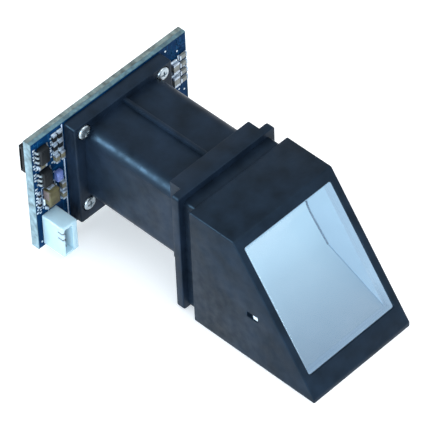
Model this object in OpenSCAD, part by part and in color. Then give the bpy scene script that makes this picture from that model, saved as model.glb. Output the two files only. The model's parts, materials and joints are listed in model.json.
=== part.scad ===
// Optical fingerprint reader module: prism head, lens tube and circuit board.
// +X is the width, the finger window faces -Y, the circuit board is at +Y, +Z is up.
// Origin: on the centre line, in the middle of the panel groove, level with the head's base.
// All lengths are in millimetres.

/* [Head] */
// Width of the head
head_w = 20.6; // [20:0.1:21.2]
// Height of the head
head_h = 23.1; // [22.9:0.05:23.3]
// Front foot of the window slope, measured from the head's rear face
head_l = 24.23; // [24:0.01:24.4]
// Length of the flat top behind the slope
head_top_l = 8.87; // [8.6:0.01:9.1]
// Height of the small upright lip under the slope
lip_h = 0.9; // [0.7:0.05:1]
// Wall thickness of the head
wall = 1.2; // [1.1:0.05:1.25]

/* [Window] */
// Width of the finger window
window_w = 18.06; // [17.6:0.02:18.1]
// Length of the finger window along the slope
window_l = 21.8; // [21:0.1:21.9]
// Slope length between the head's top edge and the window
window_top = 1.75; // [1.7:0.05:1.9]

/* [Panel groove and collar] */
// Width of the groove that takes a panel
groove_w = 2.27; // [2.1:0.01:2.3]
// Width of the neck inside the groove
neck_w = 18; // [17.6:0.1:18.4]
// Width of the collar's front layer
collar_w = 19.94; // [19.6:0.02:20.2]
// Thickness of the collar's front layer
collar_t = 1.4; // [1.3:0.05:1.5]
// Width of the collar's rear layer
collar_back_w = 16.4; // [16.2:0.1:16.8]
// Thickness of the collar's rear layer
collar_back_t = 2.2; // [2.1:0.05:2.3]

/* [Lens tube] */
// Outer width of the lens tube
tube_w = 16.4; // [16.3:0.05:16.5]
// Outer height of the lens tube
tube_h = 14.7; // [14.6:0.05:14.75]
// Distance from the collar to the circuit board
tube_l = 19.95; // [19.9:0.05:20]
// Wall thickness of the lens tube
tube_wall = 1.2; // [1.1:0.05:1.25]
// Radius of the tube's long corners
tube_r = 2.3; // [2.1:0.1:2.4]
// Thickness of the rear screw flange
flange_t = 2.4; // [2.3:0.05:2.5]

/* [Circuit board] */
// Width of the main circuit board
board_w = 32.4; // [32:0.1:33]
// Height of the main circuit board
board_h = 22.1; // [22:0.05:22.2]
// Thickness of the main circuit board
board_t = 1.6; // [1.5:0.1:1.6]

/* [Lens] */
// Radius of the focus barrel's thread
thread_r = 5; // [4.95:0.01:5]
// Running clearance between the barrel and its holder
focus_gap = 0.05; // [0.03:0.01:0.08]

/* [Hidden] */
$fn = 48;
eps = 0.01;    // overlap that keeps a cut or a union clean
cut = 1;       // how far a cutting tool runs past a face
gap = 0.05;    // assembly gap between separate pieces

// Stations along the module's length, from the middle of the panel groove
head_back_y = -groove_w / 2;
front_y = head_back_y - head_l;
head_top_y = head_back_y - head_top_l;
collar_y = groove_w / 2;
collar_mid_y = collar_y + collar_t;
tube_y = collar_mid_y + collar_back_t;
board_y = tube_y + tube_l;
flange_y = board_y - flange_t;
board_back_y = board_y + board_t;

// Heights and widths
neck_z = [0.5, 22.6];
collar_z = [0.25, 23.83];
tube_mid_z = 14.65;
flange_z = [3.75, 23.4];
flange_w = 20.2;
board_mid_x = -0.6;
board_x = [board_mid_x - board_w / 2, board_mid_x + board_w / 2];
board_top_z = 23.75;
board_z = [board_top_z - board_h, board_top_z];
collar_r = 0.6;
flange_r = 0.4;
rib_x = [-0.15, 0.55];
rib_top_z = 22.7;

// Slope of the window
slope_dy = head_top_y - front_y;
slope_dz = head_h - lip_h;
slope_l = norm([slope_dy, slope_dz]);
slope_angle = atan2(slope_dz, slope_dy);
function slope_y(depth, z) =
  front_y + depth / sin(slope_angle) + (z - lip_h) * slope_dy / slope_dz;

// Inside of the head
cavity_w = head_w - 2 * wall;
cavity_back_y = head_back_y - wall;
cavity_top_z = head_h - wall;
slope_wall = 1.3;
cover_t = 1.2;
cover_front_y = slope_y(slope_wall, cover_t);
gasket_t = 0.3;
prism_depth = slope_wall + gasket_t;
prism_back_y = head_back_y - 4.9;
prism_z = [2.6, 21.3];
prism_waist = [prism_back_y, 13.5];
prism_heel = [prism_back_y - 4.3, 8];
seal_foot_z = 2;
reflector_t = 0.35;
prism_w = cavity_w - 2 * reflector_t - 4 * gap;
latch_y = head_back_y - 12.2;
latch_z = 9.8;
latch = [2, 0.9];
latch_in = [0.2, 0.9];
latch_flat = 0.1;

// Light source behind the prism's foot
led_board_t = 0.8;
led_board_z = [1.6, 6.4];
led_board_back_y = cavity_back_y - 0.1;
led_board_y = led_board_back_y - led_board_t;
led_t = 0.7;
led_x = [-6.6, -2.2, 2.2, 6.6];
guide_back_y = led_board_y - led_t - gap;
guide_base_z = cover_t + 2 * gap + reflector_t;
lead_r = 0.3;
lead_x = [-0.6, 0.6];
lead_z = 8.9;

// Black plate between the head and the tube
mask_w = 15.2;
mask_z = [7.5, 21.8];
mask_t = 0.4;
mask_hole_w = 12;
mask_hole_z = [9.4, 19.9];

// Lens train
stop_y = tube_y + 5.4;
holder_y = [stop_y - 3, stop_y + 4];
barrel_y = [stop_y - 4.4, stop_y + 4.6];
barrel_r = thread_r - focus_gap;
barrel_bore_r = 4;
barrel_step_r = 3.3;
lens_gap = 0.03;
sensor_w = 8;
sensor_t = 1.2;
shroud_w = 10.4;
shroud_y = board_y - 4.25;
shroud_wall = 0.7;
filter_w = 7.4;
filter_t = 0.6;
seal_w = 15;
seal_h = 13.3;
seal_t = 0.7;
seal_r = 2;

// Screws
screw_r = 0.8;
screw_hole_r = 0.82;
screw_x = 8.2;
screw_z = [6.8, 21.8];
screw_head_r = 1.15;
screw_head_t = 0.65;
screw_seat = 0.3;
screw_relief = [1.35, 0.8];
screw_tip = 0.5;

// Host socket
socket_low = [-15.8, board_y - 4.45, 2.25];
socket_high = [-12.75, board_y, 8.3];
socket_wall = [0.4, 1, 0.5];
socket_back_t = 1.2;
socket_pitch = 1.25;
socket_pin_x = socket_low[0] + 1.1;
socket_pin_z = [for (i = [-1.5 : 1.5]) (socket_low[2] + socket_high[2]) / 2 + i * socket_pitch];
pin_half = 0.16;
pin_slot = 0.03;

// Tallest part on the board's rear
inductor_h = 2.85;

// Colours
black_plastic = "#22252b";
board_blue = "#12305c";
glass_blue = "#c4d6e6";
white_plastic = "#e9eeee";
chip_black = "#17181b";
metal = "#c9ccd0";
lens_glass = "#b9d4d0";

// A rectangle with round corners, centred on the origin
module rounded_rect(w, h, r) {
  square([w - 2 * r, h], center = true);
  square([w, h - 2 * r], center = true);
  for (sx = [-1, 1], sz = [-1, 1])
    translate([sx * (w / 2 - r), sz * (h / 2 - r)]) circle(r);
}

// Extrudes an XZ outline from y0 to y1
module along_y(y0, y1) {
  translate([0, y1, 0]) rotate([90, 0, 0]) linear_extrude(y1 - y0) children();
}

// Extrudes a YZ outline across the width w, centred on x = 0
module across(w) {
  rotate([90, 0, 90]) linear_extrude(w, center = true) children();
}

// A round-cornered block between two heights, from y0 to y1
module slab(w, z, y0, y1, r) {
  along_y(y0, y1)
    translate([0, (z[0] + z[1]) / 2]) rounded_rect(w, z[1] - z[0], r);
}

// The two ends of a length centred on mid
function span(mid, size) = [mid - size / 2, mid + size / 2];

// A plain block given by its lower corner and its upper corner
module block(low, high) {
  translate(low) cube(high - low);
}

// A cylinder along Y
module rod(r, y0, y1) {
  along_y(y0, y1) circle(r);
}

// The way of the picture from the head into the tube
module tube_opening(y0, y1) {
  slab(tube_w - 2 * tube_wall, span(tube_mid_z, tube_h - 2 * tube_wall), y0, y1, tube_r - tube_wall);
}

// A region behind the window slope: depth is measured square to the slope
module slope_section(depth, z0, z1, back_y) {
  polygon([[back_y, z0], [slope_y(depth, z0), z0], [slope_y(depth, z1), z1], [back_y, z1]]);
}

// A block lying in the slope, from depth d0 to d1 below its surface
module slope_block(w, l, top, d0, d1) {
  translate([0, head_top_y, head_h]) rotate([slope_angle, 0, 0])
    translate([-w / 2, -top - l, -d1]) cube([w, l, d1 - d0]);
}

module head_housing() {
  color(black_plastic) difference() {
    union() {
      across(head_w)
        polygon([[head_back_y, 0], [front_y, 0], [front_y, lip_h],
                 [head_top_y, head_h], [head_back_y, head_h]]);
      slab(neck_w, neck_z, head_back_y - eps, collar_y, collar_r);
    }
    across(cavity_w)
      slope_section(slope_wall, cover_t, cavity_top_z, cavity_back_y);
    block([-cavity_w / 2, cover_front_y, -cut], [cavity_w / 2, cavity_back_y, cover_t + eps]);
    slope_block(window_w, window_l, window_top, -cut, slope_wall + gasket_t);
    tube_opening(cavity_back_y - cut, collar_y + cut);
    slab(mask_w, mask_z, collar_y - mask_t - gap, collar_y + cut, collar_r);
    for (side = [-1, 1])
      translate([side * head_w / 2, latch_y, latch_z])
        cube([4 * wall, latch[0] + 2 * gap, latch[1] + 2 * gap], center = true);
  }
}

module base_cover() {
  color(black_plastic) {
    block([-cavity_w / 2 + gap, cover_front_y + gap, 0],
          [cavity_w / 2 - gap, cavity_back_y - gap, cover_t - gap]);
  }
}

// The back of the prism is upright above, slants forward below and ends in a slanted foot
module prism() {
  color(glass_blue, 0.6) union() {
    across(prism_w)
      polygon([[slope_y(prism_depth, prism_z[0]), prism_z[0]], [slope_y(prism_depth, prism_z[1]), prism_z[1]],
               [prism_back_y, prism_z[1]], prism_waist, prism_heel]);
    slope_block(window_w - 2 * gap, window_l - 2 * gap, window_top + gap, gap, prism_depth + eps);
  }
}

// A black strip above the window and one below it
module window_seals() {
  color("#0d0e10") difference() {
    intersection() {
      slope_block(prism_w, slope_l, 0, slope_wall + eps, prism_depth - eps);
      across(prism_w) slope_section(slope_wall, seal_foot_z, prism_z[1], prism_back_y);
    }
    slope_block(window_w, window_l, window_top, 0, prism_depth + cut);
  }
}

// White tray: a floor, two sides and a slanted rear wall; a lug on each side holds it
module reflector() {
  side_x = prism_w / 2 + gap;
  floor_z = cover_t + gap;
  rear = [gap, gap + reflector_t];
  color(white_plastic) {
    difference() {
      across(2 * (side_x + reflector_t))
        polygon([[slope_y(prism_depth + gap, floor_z), floor_z],
                 [slope_y(prism_depth + gap, prism_z[1]), prism_z[1]],
                 [prism_back_y, prism_z[1]], prism_waist, prism_heel, [prism_heel[0], floor_z]]);
      block([-side_x, front_y, floor_z + reflector_t], [side_x, collar_y, head_h]);
    }
    across(2 * (side_x + reflector_t))
      polygon([prism_heel + [rear[0], 0], prism_heel + [rear[1], 0],
               prism_waist + [rear[1], 0], prism_waist + [rear[0], 0]]);
    for (side = [-1, 1])
      translate([0, latch_y, latch_z - latch[1] / 2])
        linear_extrude(latch[1]) scale([side, 1])
          polygon([[side_x + eps, -latch[0] / 2], [head_w / 2 - latch_in[0], -latch[0] / 2],
                   [head_w / 2 - latch_in[0], -latch_flat], [head_w / 2 - latch_in[1], latch[0] / 2],
                   [side_x + eps, latch[0] / 2]]);
  }
}

// Clear wedge that spreads the light under the prism
module light_guide() {
  foot_z = prism_z[0] - gap;
  color("#f4f6f8") across(prism_w)
    polygon([[slope_y(prism_depth + gap, guide_base_z), guide_base_z],
             [slope_y(prism_depth + gap, foot_z), foot_z], prism_heel - [0, 2 * gap],
             [guide_back_y, led_board_z[1]], [guide_back_y, guide_base_z]]);
}

module led_board() {
  color("#1c6b3a") block([-cavity_w / 2 + gap, led_board_y, led_board_z[0]],
                         [cavity_w / 2 - gap, led_board_back_y, led_board_z[1]]);
}

module leds() {
  led = [1.6, led_t, 0.8];
  for (x = led_x) {
    color("#dfe8ff")
      translate([x, led_board_y - led_t / 2, 4]) cube(led, center = true);
  }
}

module led_resistor() {
  color(chip_black)
    translate([0, led_board_y - 0.25, 4]) cube([1.6, 0.5, 0.8], center = true);
}

// Two insulated wires: up from the small board, then straight through the tube
module led_leads() {
  top = led_board_z[1];
  y_up = led_board_y + led_board_t / 2;
  color("#b2362c") for (x = lead_x) translate([x, 0, 0]) {
    translate([0, y_up, top]) cylinder(r = lead_r, h = lead_z - top);
    translate([0, y_up, lead_z]) sphere(lead_r);
    translate([0, 0, lead_z]) rod(lead_r, y_up, board_y);
  }
}

module field_mask() {
  color("#0f1012") difference() {
    slab(mask_w - 2 * gap, [mask_z[0] + gap, mask_z[1] - gap], collar_y - mask_t, collar_y, collar_r);
    slab(mask_hole_w, mask_hole_z, collar_y - mask_t - cut, collar_y + cut, collar_r);
    block([-1.2, collar_y - cut, lead_z - 2 * lead_r], [1.2, collar_y + cut, mask_hole_z[0] + cut]);
  }
}

module lens_tube() {
  tube_z = span(tube_mid_z, tube_h);
  color(black_plastic) difference() {
    union() {
      slab(collar_w, collar_z, collar_y, collar_mid_y + eps, collar_r);
      collar_back();
      slab(tube_w, tube_z, tube_y - eps, flange_y + eps, tube_r);
      slab(flange_w, flange_z, flange_y, board_y, flange_r);
      block([rib_x[0], tube_y - eps, tube_z[1] - eps], [rib_x[1], flange_y + eps, rib_top_z]);
    }
    tube_opening(collar_y - cut, board_y + cut);
    for (x = [-screw_x, screw_x], z = screw_z) translate([x, 0, z]) {
      rod(screw_hole_r, flange_y - eps, board_y + cut);
      rod(screw_relief[0], flange_y - screw_relief[1], flange_y + screw_seat);
    }
    slab(seal_w, span(tube_mid_z, seal_h), board_y - seal_t - gap, board_y + cut, seal_r);
  }
}

// The collar's rear layer, cut away at its two lower corners
module collar_back() {
  half = collar_back_w / 2;
  low_half = half - 2.4;
  along_y(collar_mid_y, tube_y)
    polygon([[-low_half, 2.2], [low_half, 2.2], [half, 8], [half, collar_z[1]],
             [-half, collar_z[1]], [-half, 8]]);
}

module lens_holder() {
  color(black_plastic) difference() {
    slab(tube_w - 2 * (tube_wall + gap), span(tube_mid_z, tube_h - 2 * (tube_wall + gap)),
         holder_y[0], holder_y[1], tube_r - tube_wall);
    translate([0, 0, tube_mid_z]) rod(thread_r, holder_y[0] - cut, holder_y[1] + cut);
    block([-1.2, holder_y[0] - cut, 0], [1.2, holder_y[1] + cut, lead_z + lead_r + gap]);
  }
}

module lens_barrel() {
  slot_w = 0.8;
  color("#1b1c1f") difference() {
    translate([0, 0, tube_mid_z]) rod(barrel_r, barrel_y[0], barrel_y[1]);
    translate([0, 0, tube_mid_z]) {
      rod(barrel_bore_r, barrel_y[0] - cut, stop_y - 0.2);
      rod(barrel_step_r, stop_y - cut, stop_y + 1.2 + cut);
      rod(barrel_bore_r, stop_y + 1.2, barrel_y[1] + cut);
    }
    block([-barrel_r - cut, barrel_y[0] - cut, tube_mid_z - slot_w / 2],
          [barrel_r + cut, barrel_y[0] + 0.6, tube_mid_z + slot_w / 2]);
  }
}

// A round biconvex lens between y0 and y1, with a flat rim
module lens(y0, y1, r, bulge) {
  curve_r = (r * r + bulge * bulge) / (2 * bulge);
  color(lens_glass, 0.6) translate([0, 0, tube_mid_z]) rotate([-90, 0, 0])
    rotate_extrude() intersection() {
      translate([0, y0]) square([r, y1 - y0]);
      translate([0, y0 + curve_r]) circle(curve_r, $fn = 160);
      translate([0, y1 - curve_r]) circle(curve_r, $fn = 160);
    }
}

module front_lens() {
  lens(stop_y - 2.8, stop_y - 0.4, barrel_bore_r - lens_gap, 0.7);
}

module rear_lens() {
  lens(stop_y + 1.25, stop_y + 3.6, barrel_bore_r - lens_gap, 0.6);
}

module aperture_stop() {
  color(metal) translate([0, 0, tube_mid_z]) difference() {
    rod(barrel_bore_r - lens_gap, stop_y - 0.38, stop_y - 0.22);
    rod(1.4, stop_y - cut, stop_y + cut);
  }
}

module lens_retainer() {
  color("#2b2d30") translate([0, 0, tube_mid_z]) difference() {
    rod(barrel_bore_r - lens_gap, barrel_y[0] + 0.7, stop_y - 2.4);
    rod(barrel_step_r - 0.1, barrel_y[0], stop_y);
  }
}

module sensor_shroud() {
  hole = 6;
  inner_w = shroud_w - 2 * shroud_wall;
  pocket_w = filter_w + 2 * gap;
  color("#131417") difference() {
    slab(shroud_w, span(tube_mid_z, shroud_w), shroud_y, board_y, 0.8);
    slab(inner_w, span(tube_mid_z, inner_w), shroud_y + 1.4, board_y + cut, 0.3);
    slab(hole, span(tube_mid_z, hole), shroud_y - cut, shroud_y + 2, 0.3);
    slab(pocket_w, span(tube_mid_z, pocket_w), shroud_y - cut, shroud_y + filter_t, 0.3);
  }
}

module ir_filter() {
  color("#7fb0e0", 0.6)
    slab(filter_w, span(tube_mid_z, filter_w), shroud_y, shroud_y + filter_t, 0.3);
}

module image_sensor() {
  color("#3a3a3c") slab(sensor_w, span(tube_mid_z, sensor_w), board_y - sensor_t, board_y, 0.2);
}

module sensor_glass() {
  w = 6.4;
  color("#9fb6c8", 0.6)
    slab(w, span(tube_mid_z, w), board_y - sensor_t - 0.5, board_y - sensor_t, 0.2);
}

module light_seal() {
  seal_wall = 0.45;
  w = seal_w - 2 * gap;
  h = seal_h - 2 * gap;
  color("#1a1a1a") difference() {
    slab(w, span(tube_mid_z, h), board_y - seal_t, board_y, seal_r);
    slab(w - 2 * seal_wall, span(tube_mid_z, h - 2 * seal_wall),
         board_y - seal_t - cut, board_y + cut, seal_r - seal_wall);
  }
}

module main_board() {
  color(board_blue) difference() {
    block([board_x[0], board_y, board_z[0]], [board_x[1], board_back_y, board_z[1]]);
    for (x = [-screw_x, screw_x], z = screw_z)
      translate([x, 0, z]) rod(screw_hole_r, board_y - cut, board_back_y + cut);
  }
}

// Pan-head screws: heads on the flange's front, tips through the board
module board_screws() {
  recess = [1.3, 0.3, 0.35];
  seat_y = flange_y + screw_seat;
  color(metal) for (x = [-screw_x, screw_x], z = screw_z) translate([x, 0, z]) difference() {
    union() {
      rod(screw_head_r, seat_y - screw_head_t, seat_y);
      rod(screw_r, seat_y - eps, board_back_y + screw_tip);
    }
    along_y(seat_y - screw_head_t - cut, seat_y - screw_head_t + recess[2]) {
      square([recess[0], recess[1]], center = true);
      square([recess[1], recess[0]], center = true);
    }
  }
}

// White socket at the board's lower left corner, open towards -Y
module socket_shell() {
  color(white_plastic) difference() {
    block(socket_low, socket_high);
    block([socket_low[0] + socket_wall[0], socket_low[1] - cut, socket_low[2] + socket_wall[2]],
          [socket_high[0] - socket_wall[1], board_y - socket_back_t, socket_high[2] - socket_wall[2]]);
    for (z = socket_pin_z)
      pin(z, board_y - socket_back_t - cut, board_y + cut, pin_half + pin_slot);
  }
}

module socket_pins() {
  color("#8d8f92") for (z = socket_pin_z)
    pin(z, socket_low[1] + 0.7, board_y, pin_half);
}

// A square bar along Y at the height z
module pin(z, y0, y1, half) {
  block([socket_pin_x - half, y0, z - half], [socket_pin_x + half, y1, z + half]);
}

// A small part with two end caps, lying on the board's front, long side along Z or X
module chip_part(x, z, size, upright = true, body = "#6b5a45", y_front = true) {
  cap = size[0] * 0.22;
  y = y_front ? board_y - size[2] : board_back_y;
  turn = upright ? 90 : 0;
  translate([x, y, z]) rotate([0, turn, 0]) {
    color(body) block([-size[0] / 2 + cap, 0, -size[1] / 2], [size[0] / 2 - cap, size[2], size[1] / 2]);
    color(metal) for (side = [-1, 1])
      translate([side * (size[0] - cap) / 2, size[2] / 2, 0])
        cube([cap + eps, size[2], size[1]], center = true);
  }
}

module tantalum_capacitor() {
  low = [-15.1, board_y - 1.6, 10.5];
  high = [-13.1, board_y, 13.5];
  tab = 0.3;
  tab_x = [low[0] + 0.4, high[0] - 0.4];
  color("#a8792f") block(low, high);
  color(metal) {
    block([tab_x[0], board_y - 1, low[2] - tab], [tab_x[1], board_y, low[2] + eps]);
    block([tab_x[0], board_y - 1, high[2] - eps], [tab_x[1], board_y, high[2] + tab]);
  }
}

// A chip with gull-wing leads on two sides; up gives the side of the board it stands on
module flat_chip(x, z, body, lead_count, lead_l, up, along_x = false) {
  clear = 0.1;
  y0 = up < 0 ? board_y - clear - body[2] : board_back_y + clear;
  foot_y = up < 0 ? board_y - 0.15 : board_back_y;
  pitch = body[1] / lead_count;
  translate([x, 0, z]) rotate([0, along_x ? 90 : 0, 0]) {
    color(chip_black) block([-body[0] / 2, y0, -body[1] / 2], [body[0] / 2, y0 + body[2], body[1] / 2]);
    color(metal) for (side = [-1, 1], i = [0 : lead_count - 1])
      translate([side * (body[0] + lead_l) / 2, 0, (i - (lead_count - 1) / 2) * pitch]) {
        translate([0, foot_y + 0.075, 0]) cube([lead_l, 0.15, pitch * 0.45], center = true);
        translate([-side * (lead_l / 2 - 0.1), board_y + (up < 0 ? -0.35 : board_t + 0.35), 0])
          cube([0.22, 0.7, pitch * 0.45], center = true);
      }
  }
}

module regulator() {
  flat_chip(-14.9, 20.9, [1.7, 2.9, 1.1], 3, 0.6, -1);
}

module interface_chip() {
  flat_chip(-14.7, 16, [1.7, 2.9, 1.1], 3, 0.6, -1);
}

module blue_varistor() {
  color("#5a64b8") block([-12.7, board_y - 0.9, 13.5], [-11.5, board_y, 15.3]);
}

module left_resistors() {
  for (x = [-12.2, -11.1], z = [22, 20.1])
    chip_part(x, z, [1.6, 0.8, 0.5], true, chip_black);
  for (z = [12.8, 10.9])
    chip_part(-16, z, [1, 0.5, 0.4], true, chip_black);
}

module left_capacitors() {
  size = [1.6, 0.8, 0.8];
  for (x = [-12.2, -11.1])
    chip_part(x, 18.1, size, true);
  chip_part(-15, 18.5, [1.6, 0.7, 0.6], false);
  for (z = [11.9, 9.9])
    chip_part(-11.4, z, size, true);
  chip_part(-14.2, 9.3, [1.2, 0.6, 0.5], false);
}

module right_parts() {
  for (z = [19.6, 18, 16.4, 14.8])
    chip_part(14.5, z, [1.6, 0.8, 0.5], false, chip_black);
  for (z = [18.6, 15.8])
    chip_part(12.6, z, [2, 1.25, 0.9], true, "#8d8a86");
}

// Closed socket at the rear's upper left corner
module rear_socket() {
  color("#26262a")
    block([board_x[0], board_back_y, 16.9], [board_x[0] + 4.6, board_back_y + 1, 22.2]);
}

module processor() {
  flat_chip(0.8, 13.6, [10, 10, 1.4], 16, 1, 1);
}

module flash_memory() {
  flat_chip(-11.8, 12, [3.9, 4.9, 1.5], 4, 1, 1);
}

module crystal() {
  color(metal) translate([-1.6, 0, 0])
    slab(5, [19.2, 22], board_back_y, board_back_y + 1.1, 0.5);
}

module inductor() {
  color("#3b3b3e") translate([12.4, 0, 10.4])
    along_y(board_back_y, board_back_y + inductor_h) rounded_rect(5, 5, 0.8);
}

module rear_capacitors() {
  size = [1.6, 0.8, 0.8];
  for (z = [15.2, 17.2, 19.2])
    chip_part(12, z, size, false, "#8d6f47", false);
  for (x = [-4, -1.2, 1.6])
    chip_part(x, 4.4, size, false, "#8d6f47", false);
}

head_housing();
base_cover();
prism();
window_seals();
reflector();
light_guide();
led_board();
leds();
led_resistor();
led_leads();
field_mask();
lens_tube();
lens_holder();
lens_barrel();
front_lens();
aperture_stop();
rear_lens();
lens_retainer();
sensor_shroud();
ir_filter();
image_sensor();
sensor_glass();
light_seal();
main_board();
board_screws();
socket_shell();
socket_pins();
tantalum_capacitor();
regulator();
interface_chip();
blue_varistor();
left_resistors();
left_capacitors();
right_parts();
rear_socket();
processor();
flash_memory();
crystal();
inductor();
rear_capacitors();
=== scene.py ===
"""Looks for the optical fingerprint reader module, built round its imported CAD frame."""
import json
import math
import random

import bmesh
import bpy
from mathutils import Matrix, Vector


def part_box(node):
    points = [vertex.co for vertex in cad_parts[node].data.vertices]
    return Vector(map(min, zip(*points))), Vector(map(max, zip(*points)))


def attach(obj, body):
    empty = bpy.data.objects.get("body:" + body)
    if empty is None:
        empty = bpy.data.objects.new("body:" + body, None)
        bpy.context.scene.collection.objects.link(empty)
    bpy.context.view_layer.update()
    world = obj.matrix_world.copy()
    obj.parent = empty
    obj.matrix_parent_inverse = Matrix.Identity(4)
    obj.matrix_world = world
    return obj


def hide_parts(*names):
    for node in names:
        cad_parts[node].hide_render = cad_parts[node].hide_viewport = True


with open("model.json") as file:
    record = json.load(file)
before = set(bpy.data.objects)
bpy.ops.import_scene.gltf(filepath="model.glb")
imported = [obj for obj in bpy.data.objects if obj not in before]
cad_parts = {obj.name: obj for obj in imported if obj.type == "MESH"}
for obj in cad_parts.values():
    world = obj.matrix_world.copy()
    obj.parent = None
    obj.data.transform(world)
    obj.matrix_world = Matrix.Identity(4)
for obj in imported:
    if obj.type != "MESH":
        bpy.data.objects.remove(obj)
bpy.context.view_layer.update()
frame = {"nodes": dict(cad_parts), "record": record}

MM = 0.001
BODY = "module"
EXACT = "EXACT"


# ---------------------------------------------------------------- materials

def socket_set(node, name, value):
    if name in node.inputs:
        node.inputs[name].default_value = value


def shades(color, spread):
    """A darker and a lighter version of a colour."""
    dark = [max(0.0, c * (1 - spread)) for c in color] + [1]
    light = [min(1.0, c * (1 + spread)) for c in color] + [1]
    return dark, light


def surface(name, color, rough, spread=0.12, patch=250, grain=3000, bump=0.15, rough_spread=0.08,
            light=None, metallic=0.0, coat=0.0, transmission=0.0, ior=1.5, tint=(1, 1, 1),
            glow=0.0, milky=0.0):
    """A procedural surface: cloudy colour, cloudy roughness and a fine grain in the bump."""
    mat = bpy.data.materials.new(name)
    mat.use_nodes = True
    tree = mat.node_tree
    shader = tree.nodes["Principled BSDF"]
    coords = tree.nodes.new("ShaderNodeTexCoord")

    clouds = tree.nodes.new("ShaderNodeTexNoise")
    clouds.inputs["Scale"].default_value = patch
    clouds.inputs["Detail"].default_value = 5
    tree.links.new(coords.outputs["Object"], clouds.inputs["Vector"])
    ramp = tree.nodes.new("ShaderNodeValToRGB")
    dark, lighter = shades(color, spread)
    ramp.color_ramp.elements[0].position = 0.3
    ramp.color_ramp.elements[0].color = dark
    ramp.color_ramp.elements[1].position = 0.7
    ramp.color_ramp.elements[1].color = list(light) + [1] if light else lighter
    tree.links.new(clouds.outputs["Fac"], ramp.inputs["Fac"])
    tree.links.new(ramp.outputs["Color"], shader.inputs["Base Color"])

    smudges = tree.nodes.new("ShaderNodeTexNoise")
    smudges.inputs["Scale"].default_value = patch * 2.3
    smudges.inputs["Detail"].default_value = 6
    tree.links.new(coords.outputs["Object"], smudges.inputs["Vector"])
    spread_range = tree.nodes.new("ShaderNodeMapRange")
    spread_range.inputs["From Min"].default_value = 0.3
    spread_range.inputs["From Max"].default_value = 0.7
    spread_range.inputs["To Min"].default_value = max(0.02, rough - rough_spread)
    spread_range.inputs["To Max"].default_value = min(1.0, rough + rough_spread)
    tree.links.new(smudges.outputs["Fac"], spread_range.inputs["Value"])
    tree.links.new(spread_range.outputs["Result"], shader.inputs["Roughness"])

    fine = tree.nodes.new("ShaderNodeTexNoise")
    fine.inputs["Scale"].default_value = grain
    fine.inputs["Detail"].default_value = 3
    tree.links.new(coords.outputs["Object"], fine.inputs["Vector"])
    bumps = tree.nodes.new("ShaderNodeBump")
    bumps.inputs["Strength"].default_value = bump
    bumps.inputs["Distance"].default_value = 0.00002
    tree.links.new(fine.outputs["Fac"], bumps.inputs["Height"])
    tree.links.new(bumps.outputs["Normal"], shader.inputs["Normal"])

    socket_set(shader, "Metallic", metallic)
    socket_set(shader, "Coat Weight", coat)
    socket_set(shader, "Coat Roughness", 0.15)
    socket_set(shader, "Transmission Weight", transmission)
    socket_set(shader, "IOR", ior)
    socket_set(shader, "Specular Tint", (*tint, 1))
    socket_set(shader, "Emission Color", (*color, 1))
    socket_set(shader, "Emission Strength", glow)
    socket_set(shader, "Subsurface Weight", milky)
    socket_set(shader, "Subsurface Radius", (1, 1, 1))
    socket_set(shader, "Subsurface Scale", 1.2 * MM)
    return mat


def gradient(name, low_color, high_color, z_low, z_high, glow=1.0):
    """A face inside the prism, coloured with painted light: it glows though it is no lamp, standing in
    for the light that the glass sends round it, in a colour that changes with height, painted darker
    towards the bottom as painted shade, and is faintly cloudy."""
    mat = surface(name, [c * 0.04 for c in low_color], 0.7, spread=0.03, patch=160, grain=900,
                  bump=0.02, glow=glow)
    tree = mat.node_tree
    shader = tree.nodes["Principled BSDF"]
    coords = tree.nodes["Texture Coordinate"]
    parts = tree.nodes.new("ShaderNodeSeparateXYZ")
    tree.links.new(coords.outputs["Object"], parts.inputs["Vector"])
    height = tree.nodes.new("ShaderNodeMapRange")
    height.interpolation_type = "SMOOTHSTEP"
    height.inputs["From Min"].default_value = z_low * MM
    height.inputs["From Max"].default_value = z_high * MM
    tree.links.new(parts.outputs["Z"], height.inputs["Value"])
    clouds = tree.nodes.new("ShaderNodeTexNoise")
    clouds.inputs["Scale"].default_value = 120
    clouds.inputs["Detail"].default_value = 2
    tree.links.new(coords.outputs["Object"], clouds.inputs["Vector"])
    waver = tree.nodes.new("ShaderNodeMath")
    waver.operation = "MULTIPLY_ADD"
    waver.inputs[1].default_value = 0.12
    tree.links.new(clouds.outputs["Fac"], waver.inputs[0])
    tree.links.new(height.outputs["Result"], waver.inputs[2])
    ramp = tree.nodes.new("ShaderNodeValToRGB")
    ramp.color_ramp.elements[0].color = [*low_color, 1]
    ramp.color_ramp.elements[1].color = [*high_color, 1]
    tree.links.new(waver.outputs["Value"], ramp.inputs["Fac"])
    tree.links.new(ramp.outputs["Color"], shader.inputs["Emission Color"])
    return mat


BLUE_SHEEN = (0.50, 0.78, 1.0)
BOARD_SHEEN = (0.10, 0.40, 1.0)

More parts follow.
